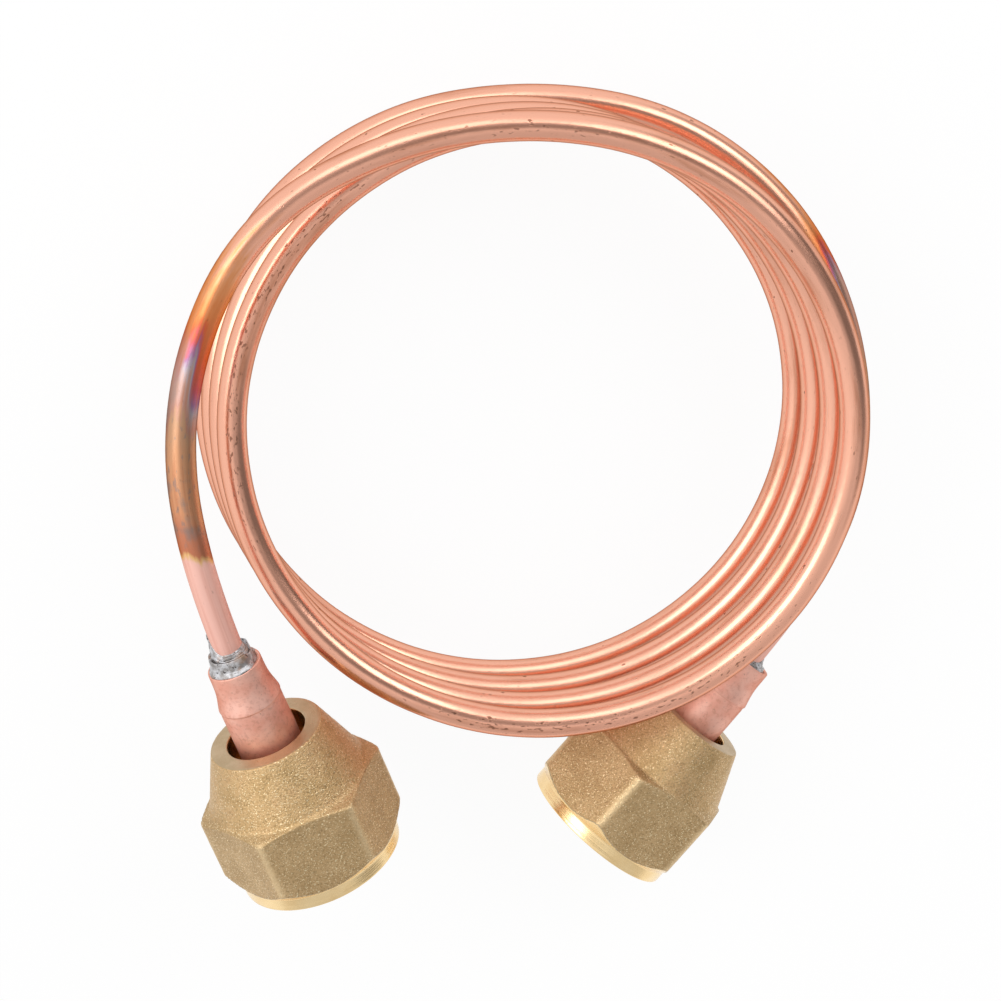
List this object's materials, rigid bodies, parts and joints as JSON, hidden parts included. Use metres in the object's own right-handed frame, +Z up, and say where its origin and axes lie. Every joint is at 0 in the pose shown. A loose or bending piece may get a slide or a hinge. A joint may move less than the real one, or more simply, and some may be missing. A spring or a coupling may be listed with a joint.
{
  "type": "copper tube coil",
  "caption": "Loose open coil of thin copper capillary tube; both ends are brazed into short flared stubs that carry swivelling hexagon brass flare nuts.",
  "frame": {"origin": "on the floor under the middle of the part's box, as it lies", "axes": "+Z up; +X to the right of the reference view, +Y away from the nuts"},
  "size_m": [0.0718, 0.0834, 0.0292],
  "materials": {
    "copper_tube": "bright drawn copper, heat tinted near the ends",
    "copper_stub": "matte pickled copper",
    "braze_metal": "lumpy silver-grey braze",
    "forged_brass": "rough forged skin with a machined mouth ring"
  },
  "bodies": {
    "coil": {"capillary_tube": "copper_tube", "left_stub": "copper_stub", "right_stub": "copper_stub", "left_braze": "braze_metal", "right_braze": "braze_metal"},
    "left_nut": {"left_flare_nut": "forged_brass"},
    "right_nut": {"right_flare_nut": "forged_brass"}
  },
  "joints": [
    {"name": "left_nut_swivel", "type": "hinge", "parent": "coil", "child": "left_nut", "pos_m": [-0.02178, -0.03443, 0.01868], "axis": [0.3373, -0.922, -0.1899], "continuous": true},
    {"name": "right_nut_swivel", "type": "hinge", "parent": "coil", "child": "right_nut", "pos_m": [0.00764, -0.0363, 0.00906], "axis": [-0.6389, -0.7687, -0.0292], "continuous": true}
  ]
}
